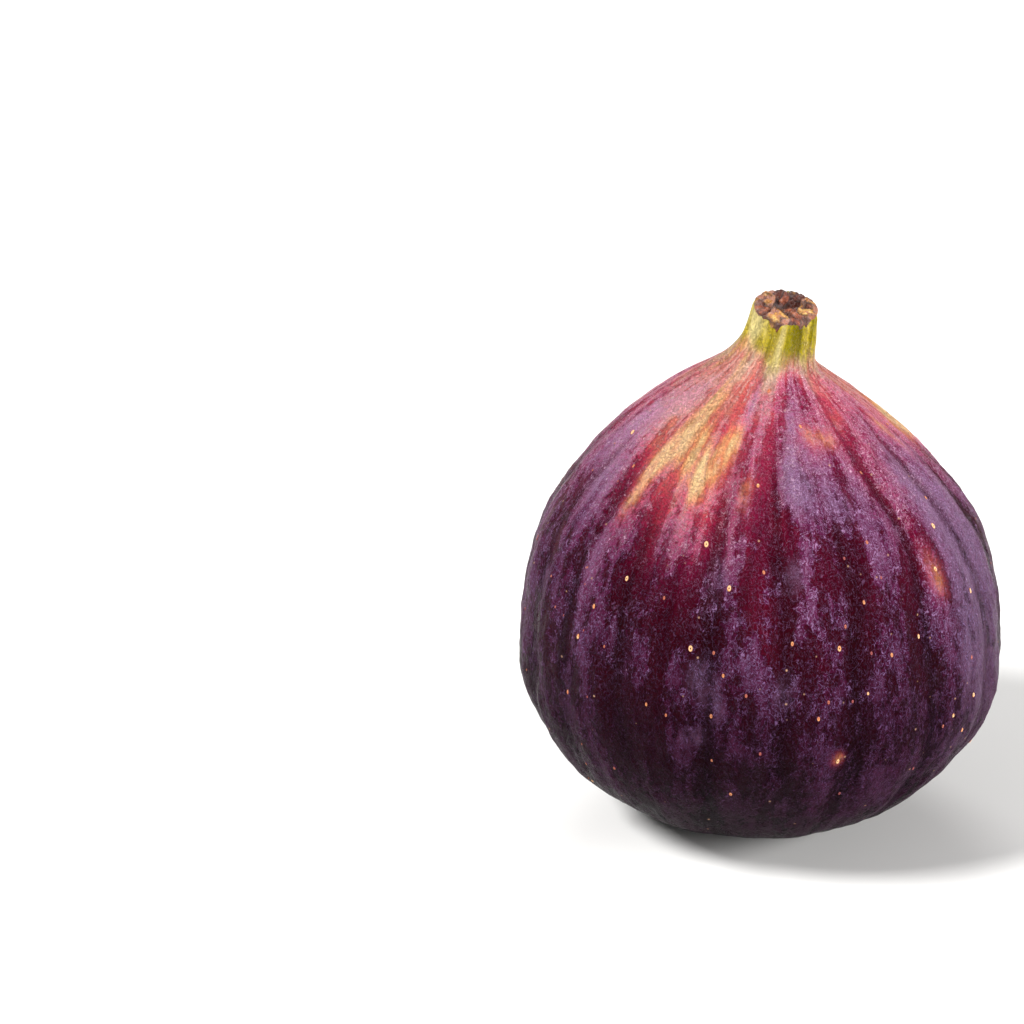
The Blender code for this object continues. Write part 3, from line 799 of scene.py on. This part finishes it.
def corkyPore():
    # lenticel: tan cork that has grown out of a split in the peel, darker in the middle where it has
    # opened: painted shade of the hole
    material, tree, shader, inMillimetres = startMaterial("cork of an opened lenticel")
    depth = addNode(tree, "ShaderNodeAttribute", attribute_name="depth").outputs["Fac"]
    opened = addNode(tree, "ShaderNodeAttribute", attribute_name="opened").outputs["Fac"]
    uneven = addNode(tree, "ShaderNodeTexNoise", {"Vector": inMillimetres, "Scale": 0.5, "Detail": 2.0})
    size = addNode(tree, "ShaderNodeAttribute", attribute_name="size").outputs["Fac"]
    uneven = addNode(tree, "ShaderNodeMath", {0: size, 1: 1.4, 2: uneven}, operation="MULTIPLY_ADD")
    cork = addNode(tree, "ShaderNodeValToRGB", {0: uneven}, stops=[
        (0.7, "#94403c"), (0.84, "#b46440"), (0.98, "#cc8850"), (1.12, "#e0ac78")])
    margin = addNode(tree, "ShaderNodeMapRange", {"Value": depth, "From Min": 0.26, "From Max": 0.0})
    colour = addNode(tree, "ShaderNodeMix", {0: margin, 6: cork.outputs["Color"], 7: hexColour("#6a2c3a")},
                     data_type="RGBA")
    # painted shade: dark in the middle of an opened pore, where its hole is
    hole = addNode(tree, "ShaderNodeMapRange", {
        "Value": depth, "From Min": 0.62, "From Max": 0.86, "To Max": opened})
    colour = addNode(tree, "ShaderNodeMix", {0: hole, 6: colour.outputs[2], 7: hexColour("#3a1410")},
                     data_type="RGBA")
    tree.links.new(colour.outputs[2], shader.inputs["Base Color"])
    shader.inputs["Roughness"].default_value = 0.55
    return material


def growPores(skin):
    dice = random.Random(poreScatter["seed"])
    marks = list(frontPores)
    for _ in range(poreScatter["others"]):
        span = poreScatter["largest"] - poreScatter["smallest"]
        radius = poreScatter["smallest"] + span * dice.random() ** 2
        place = (dice.uniform(*poreScatter["angles"]), dice.uniform(*poreScatter["heights"]))
        opened = dice.random() < poreScatter["openShare"] and radius > poreScatter["openFrom"]
        marks.append((*place, radius, int(opened)))
    points = []
    for angle, height, _, _ in marks:
        sine, cosine = math.sin(math.radians(angle)), math.cos(math.radians(angle))
        radius = upperRadius(height, sine) if height > figForm["bellyHeight"] else lowerRadius(height)
        points.append(onNeck(radius * sine, -radius * cosine, height))
    steps, rings = poreShape["steps"], poreShape["rings"]
    turns = [math.tau * step / steps for step in range(steps)]
    shape = [(0.0, 0.0, poreShape["hole"])]
    depth = [1.0]
    for radius, level in rings:
        shape += [(radius * math.cos(turn), radius * math.sin(turn), level) for turn in turns]
        depth += [1.0 - radius] * steps
    shape.append((0.0, 0.0, poreShape["root"]))
    depth.append(0.0)
    inputs = {
        "Skin": skin, "Material": corkyPore(),
        "Marks": guideObject("poreMarks", points, size=[mark[2] for mark in marks],
                             opened=[float(mark[3]) for mark in marks]),
        "Shape": guideObject("poreShape", shape, faces=ringFaces(len(rings), steps), depth=depth),
    }
    pores = growPiece("lenticels", poreTree(inputs), inputs)
    bpy.data.objects.remove(inputs["Marks"])
    bpy.data.objects.remove(inputs["Shape"])
    return pores


pores = growPores(skin)
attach(pores, "root")
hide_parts("fig")


# The dried cut: a crust of torn plates over the end of the stalk, with a ragged skirt
cutCrust = {
    "steps": 150, "topRings": 34, "skirtRings": 8,
    "inset": 0.25, "below": 0.15, "dish": 0.22,
    "plateSize": 1.5, "plateWarp": 0.35, "plateLift": 0.26, "plateTilt": 0.6,
    "gapWidth": 0.22, "gapDepth": 0.18, "grainHeight": 0.42, "rimCalm": 0.72, "rimOut": 0.22,
    "skirtLeast": 0.35, "skirtMost": 1.9, "skirtShortest": 0.3, "standOff": 0.12, "tuck": 0.08,
    "evenDrop": 0.3, "toothDrop": 0.28, "frontDrop": 0.26,
    "closeShare": 0.8, "closeBelow": 2.0, "seed": 7.0,
    "warpShifts": (9.3, 0.0, -6.3),      # noise read at three places bends the plates in three directions
}


def crustPoint(ring, turn):
    # place of a point of the crust, how torn it is there and the random number of its plate
    form = cutCrust
    seed = form["seed"]
    sine, cosine = math.sin(turn), math.cos(turn)
    capRadius = figForm["cutRadius"] - form["inset"]
    top = figForm["cutHeight"] - form["below"]
    if ring < form["topRings"]:
        share = (ring + 1) / form["topRings"]
        radius = capRadius * share
        level = top - form["dish"] * (1 - share * share)
        onTop = 1.0
    else:
        share = (ring + 1 - form["topRings"]) / form["skirtRings"]
        teeth = sum(pointNoise.noise(Vector((sine * count, cosine * count, seed))) for count in (5.0, 14.0))
        reach = form["evenDrop"] + form["toothDrop"] * teeth + form["frontDrop"] * max(cosine, 0.0)
        drop = form["skirtLeast"] + (form["skirtMost"] - form["skirtLeast"]) * reach
        level = top - max(drop, form["skirtShortest"]) * share
        stand = form["standOff"] * (1 - share) - form["tuck"] * share * share
        onSkin = upperRadius(min(level, figForm["cutHeight"] - figForm["cutEdge"])) + stand
        radius = capRadius + (onSkin - capRadius) * smoothStep(share * 3)
        onTop = max(1 - share * 1.2, 0.0)
    x, y = radius * sine, -radius * cosine
    where = Vector((x, y, level * 0.5)) / form["plateSize"]
    warp = [pointNoise.noise(where * 1.7 + Vector((shift, 0.0, 0.0))) for shift in form["warpShifts"]]
    where += Vector(warp) * form["plateWarp"]
    where += Vector((seed, 0.0, 0.0))
    distances, centres = pointNoise.voronoi(where)
    centre = centres[0]
    number = pointNoise.cell(centre * 31.7)
    lean = Vector((pointNoise.cell(centre * 17.3) - 0.5, pointNoise.cell(centre * 53.1) - 0.5, 0.0))
    gap = smoothStep((distances[1] - distances[0]) / form["gapWidth"])
    lift = form["plateLift"] * (number - 0.4) + form["plateTilt"] * lean.dot(where - centre)
    fibres = pointNoise.noise(Vector((x * 1.8, y * 6.4, level * 3.1)))
    lift = (lift - form["gapDepth"] * (1 - gap)) + form["grainHeight"] * fibres
    rim = smoothStep((radius / capRadius - 0.82) / 0.2)
    lift *= onTop * (1 - form["rimCalm"] * rim)
    out = form["rimOut"] * lift * rim
    return onNeck(x + out * sine, y - out * cosine, level + lift), gap, number


def buildCrust(material):
    steps = cutCrust["steps"]
    rings = cutCrust["topRings"] + cutCrust["skirtRings"]
    middle, gap, number = crustPoint(-1, 0.0)
    points, gaps, numbers = [middle], [gap], [number]
    for ring in range(rings):
        for step in range(steps):
            point, gap, number = crustPoint(ring, -math.tau * step / steps)
            points.append(point)
            gaps.append(gap)
            numbers.append(number)
    # the shell closes inside the stalk
    inner = cutCrust["closeShare"] * figForm["cutRadius"]
    under = figForm["cutHeight"] - cutCrust["closeBelow"]
    for step in range(steps):
        turn = -math.tau * step / steps
        points.append(onNeck(inner * math.sin(turn), -inner * math.cos(turn), under))
    points.append(onNeck(0.0, 0.0, under))
    gaps += [0.0] * (steps + 1)
    numbers += [0.0] * (steps + 1)
    crust = guideObject("stalkCut", points, faces=ringFaces(rings + 1, steps), gap=gaps, plate=numbers)
    crust.data.materials.append(material)
    crust.data.shade_smooth()
    print("stalkCut", len(crust.data.polygons), "faces")
    return crust


def driedCut():
    # dried latex and torn fibre of the picked stalk: matt brown plates, some still tan or purple, with
    # painted shade in the cracks between them
    material, tree, shader, inMillimetres = startMaterial("dried cut of a fig stalk")
    gap = addNode(tree, "ShaderNodeAttribute", attribute_name="gap").outputs["Fac"]
    plate = addNode(tree, "ShaderNodeAttribute", attribute_name="plate").outputs["Fac"]
    stain = addNode(tree, "ShaderNodeTexNoise", {"Vector": inMillimetres, "Scale": 1.1, "Detail": 5.0,
                                                 "Roughness": 0.65})
    tone = addNode(tree, "ShaderNodeMath", {0: plate, 1: 0.36, 2: stain}, operation="MULTIPLY_ADD")
    colour = addNode(tree, "ShaderNodeValToRGB", {0: tone}, stops=[
        (0.34, "#54200e"), (0.48, "#843a1e"), (0.6, "#a8603c"), (0.7, "#b08070"), (0.78, "#c07c38"),
        (0.9, "#e8b868")])
    fibre = addNode(tree, "ShaderNodeTexNoise", {"Vector": inMillimetres, "Scale": 5.5, "Detail": 3.0})
    fibreShare = addNode(tree, "ShaderNodeMapRange", {
        "Value": fibre, "From Min": 0.40, "From Max": 0.62, "To Min": 0.45, "To Max": 0.0})
    # painted shade: dark in the sunken gaps between the plates
    crackShade = addNode(tree, "ShaderNodeMapRange", {"Value": gap, "To Min": 0.85, "To Max": 0.0})
    colour = colour.outputs["Color"]
    for amount, tint in ((fibreShare, "#4c2018"), (crackShade, "#24100e")):
        colour = addNode(tree, "ShaderNodeMix", {0: amount, 6: colour, 7: hexColour(tint)},
                         data_type="RGBA").outputs[2]
    tree.links.new(colour, shader.inputs["Base Color"])
    shader.inputs["Roughness"].default_value = 0.3
    bump = addNode(tree, "ShaderNodeBump", {"Height": fibre, "Strength": 0.9, "Distance": 0.3 * mm})
    tree.links.new(bump.outputs["Normal"], shader.inputs["Normal"])
    return material


crust = buildCrust(driedCut())
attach(crust, "root")
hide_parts("fig")


# Bracts that close the eye: how many in the ring, radius of the ring, length of a bract, and its tilt
eyeRings = [(11, 2.15, 1.5, 10), (8, 1.45, 1.3, 18), (5, 0.75, 1.0, 26)]
bractShape = {
    "steps": 10, "rings": 5, "width": 0.42, "thickness": 0.11, "lowest": 0.3, "sunk": 0.12,
    "wander": 0.15, "roll": 0.15, "lengths": (0.85, 1.1), "taper": 1.1, "cup": 0.25, "seed": 3,
}


def bractTree(inputs):
    tree, entry = startTree("bracts in the eye", inputs)
    marks = addNode(tree, "GeometryNodeObjectInfo", {"Object": entry["Marks"]}).outputs["Geometry"]
    shape = addNode(tree, "GeometryNodeObjectInfo", {"Object": entry["Shape"]}).outputs["Geometry"]
    turn = addNode(tree, "GeometryNodeInputNamedAttribute", {"Name": "turn"}, data_type="FLOAT_VECTOR")
    turn = addNode(tree, "FunctionNodeEulerToRotation", {0: turn})
    size = addNode(tree, "GeometryNodeInputNamedAttribute", {"Name": "size"}, data_type="FLOAT")
    size = addNode(tree, "ShaderNodeMath", {0: size, 1: mm}, operation="MULTIPLY")
    scale = addNode(tree, "ShaderNodeCombineXYZ", {0: size, 1: size, 2: size})
    bracts = addNode(tree, "GeometryNodeInstanceOnPoints", {
        0: marks, "Instance": shape, "Rotation": turn, "Scale": scale})
    endTree(tree, bracts, entry["Material"])
    return tree


def dryBract():
    # bracts of the eye: thin dry scales, reddish brown and paler at the tip
    material, tree, shader, inMillimetres = startMaterial("dry bract of the fig eye")
    tip = addNode(tree, "ShaderNodeAttribute", attribute_name="tip").outputs["Fac"]
    mottle = addNode(tree, "ShaderNodeTexNoise", {"Vector": inMillimetres, "Scale": 3.0, "Detail": 4.0})
    tone = addNode(tree, "ShaderNodeMath", {0: tip, 1: 0.5, 2: mottle}, operation="MULTIPLY_ADD")
    colour = addNode(tree, "ShaderNodeValToRGB", {0: tone}, stops=[
        (0.35, "#4a1c20"), (0.6, "#7c3c34"), (0.85, "#b07a58"), (1.0, "#cca078")])
    tree.links.new(colour.outputs["Color"], shader.inputs["Base Color"])
    shader.inputs["Roughness"].default_value = 0.6
    bump = addNode(tree, "ShaderNodeBump", {"Height": mottle, "Strength": 0.6, "Distance": 0.1 * mm})
    tree.links.new(bump.outputs["Normal"], shader.inputs["Normal"])
    return material


def growEye():
    form = bractShape
    dice = random.Random(form["seed"])
    points, turns, sizes = [], [], []
    for number, radius, length, tilt in eyeRings:
        start = dice.uniform(0, math.tau)
        for place in range(number):
            angle = start + math.tau * (place + dice.uniform(-form["wander"], form["wander"])) / number
            level = figForm["eyeDepth"] * (1 - (radius / figForm["eyeRadius"]) ** 2)
            level = max(level - form["sunk"], form["lowest"])
            points.append(Vector((radius * math.cos(angle), radius * math.sin(angle), level)) * mm)
            turns.append((dice.uniform(-form["roll"], form["roll"]), math.radians(tilt), angle + math.pi))
            sizes.append(length * dice.uniform(*form["lengths"]))
    steps, rings, half = form["steps"], form["rings"], form["thickness"] / 2
    shape, tips = [(0.0, 0.0, half)], [0.5]
    for ring in range(1, rings + 1):
        drop = math.pi * ring / (rings + 1)
        for step in range(steps):
            turn = math.tau * step / steps
            along = 0.5 * math.sin(drop) * math.cos(turn)
            width = form["width"] * math.sin(drop) * math.sin(turn) * (1 - form["taper"] * max(along, 0.0))
            shape.append((along, width, half * math.cos(drop) - form["cup"] * width * width))
            tips.append(along + 0.5)
    shape.append((0.0, 0.0, -half))
    tips.append(0.5)
    inputs = {
        "Marks": guideObject("bractMarks", points, turn=turns, size=sizes),
        "Shape": guideObject("bractShape", shape, faces=ringFaces(rings, steps), tip=tips),
        "Material": dryBract(),
    }
    eye = growPiece("eyeBracts", bractTree(inputs), inputs)
    bpy.data.objects.remove(inputs["Marks"])
    bpy.data.objects.remove(inputs["Shape"])
    return eye


eye = growEye()
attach(eye, "root")
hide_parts("fig")


# The table, the light and the camera
stageSetup = {
    "floorSize": 6000.0, "floorGap": 0.02, "floorColour": "#e6e5e3",
    "worldColour": "#ffffff", "worldStrength": 0.26,
    "cameraElevation": 22.0, "cameraDistance": 450.0, "lens": 137.3,
    "aimLeft": 28.6, "aimUp": 8.9, "aimHeight": 27.1,
}
# place, width and power of each light
stageLights = {
    "keyLight": ((-1300, -620, 1450), 650, 62.0),
    "sideLight": ((1500, -450, 430), 800, 45.0),
    "backLight": ((-100, 1500, 1300), 900, 14.0),
}


def setStage():
    scene = bpy.context.scene
    scene.view_settings.view_transform = "Standard"
    bpy.ops.mesh.primitive_plane_add(size=stageSetup["floorSize"] * mm)
    floor = bpy.context.object
    floor.name = "tableTop"
    floor.location.z = figLow.z - stageSetup["floorGap"] * mm
    paint = bpy.data.materials.new("matt painted board")
    paint.use_nodes = True
    shader = paint.node_tree.nodes["Principled BSDF"]
    shader.inputs["Base Color"].default_value = hexColour(stageSetup["floorColour"])
    shader.inputs["Roughness"].default_value = 0.9
    floor.data.materials.append(paint)
    world = bpy.data.worlds.new("soft room")
    world.use_nodes = True
    background = world.node_tree.nodes["Background"]
    background.inputs["Color"].default_value = hexColour(stageSetup["worldColour"])
    background.inputs["Strength"].default_value = stageSetup["worldStrength"]
    scene.world = world
    for name, (place, size, power) in stageLights.items():
        light = bpy.data.lights.new(name, "AREA")
        light.shape = "DISK"
        light.size = size * mm
        light.energy = power
        lamp = bpy.data.objects.new(name, light)
        lamp.location = Vector(place) * mm
        aim = Vector((0, 0, stageSetup["aimHeight"] * mm)) - lamp.location
        lamp.rotation_euler = aim.to_track_quat("-Z", "Y").to_euler()
        scene.collection.objects.link(lamp)

    lift = math.radians(stageSetup["cameraElevation"])
    backward = Vector((0.0, -math.cos(lift), math.sin(lift)))
    upward = Vector((0.0, math.sin(lift), math.cos(lift)))
    target = Vector((0.0, 0.0, stageSetup["aimHeight"])) + upward * stageSetup["aimUp"]
    target.x -= stageSetup["aimLeft"]
    lens = bpy.data.cameras.new("camera")
    lens.lens = stageSetup["lens"]
    lens.clip_start = 0.01
    lens.clip_end = 20.0
    camera = bpy.data.objects.new("camera", lens)
    camera.location = (target + backward * stageSetup["cameraDistance"]) * mm
    camera.rotation_euler = (-backward).to_track_quat("-Z", "Y").to_euler()
    scene.collection.objects.link(camera)
    scene.camera = camera
    print("stage set")


setStage()
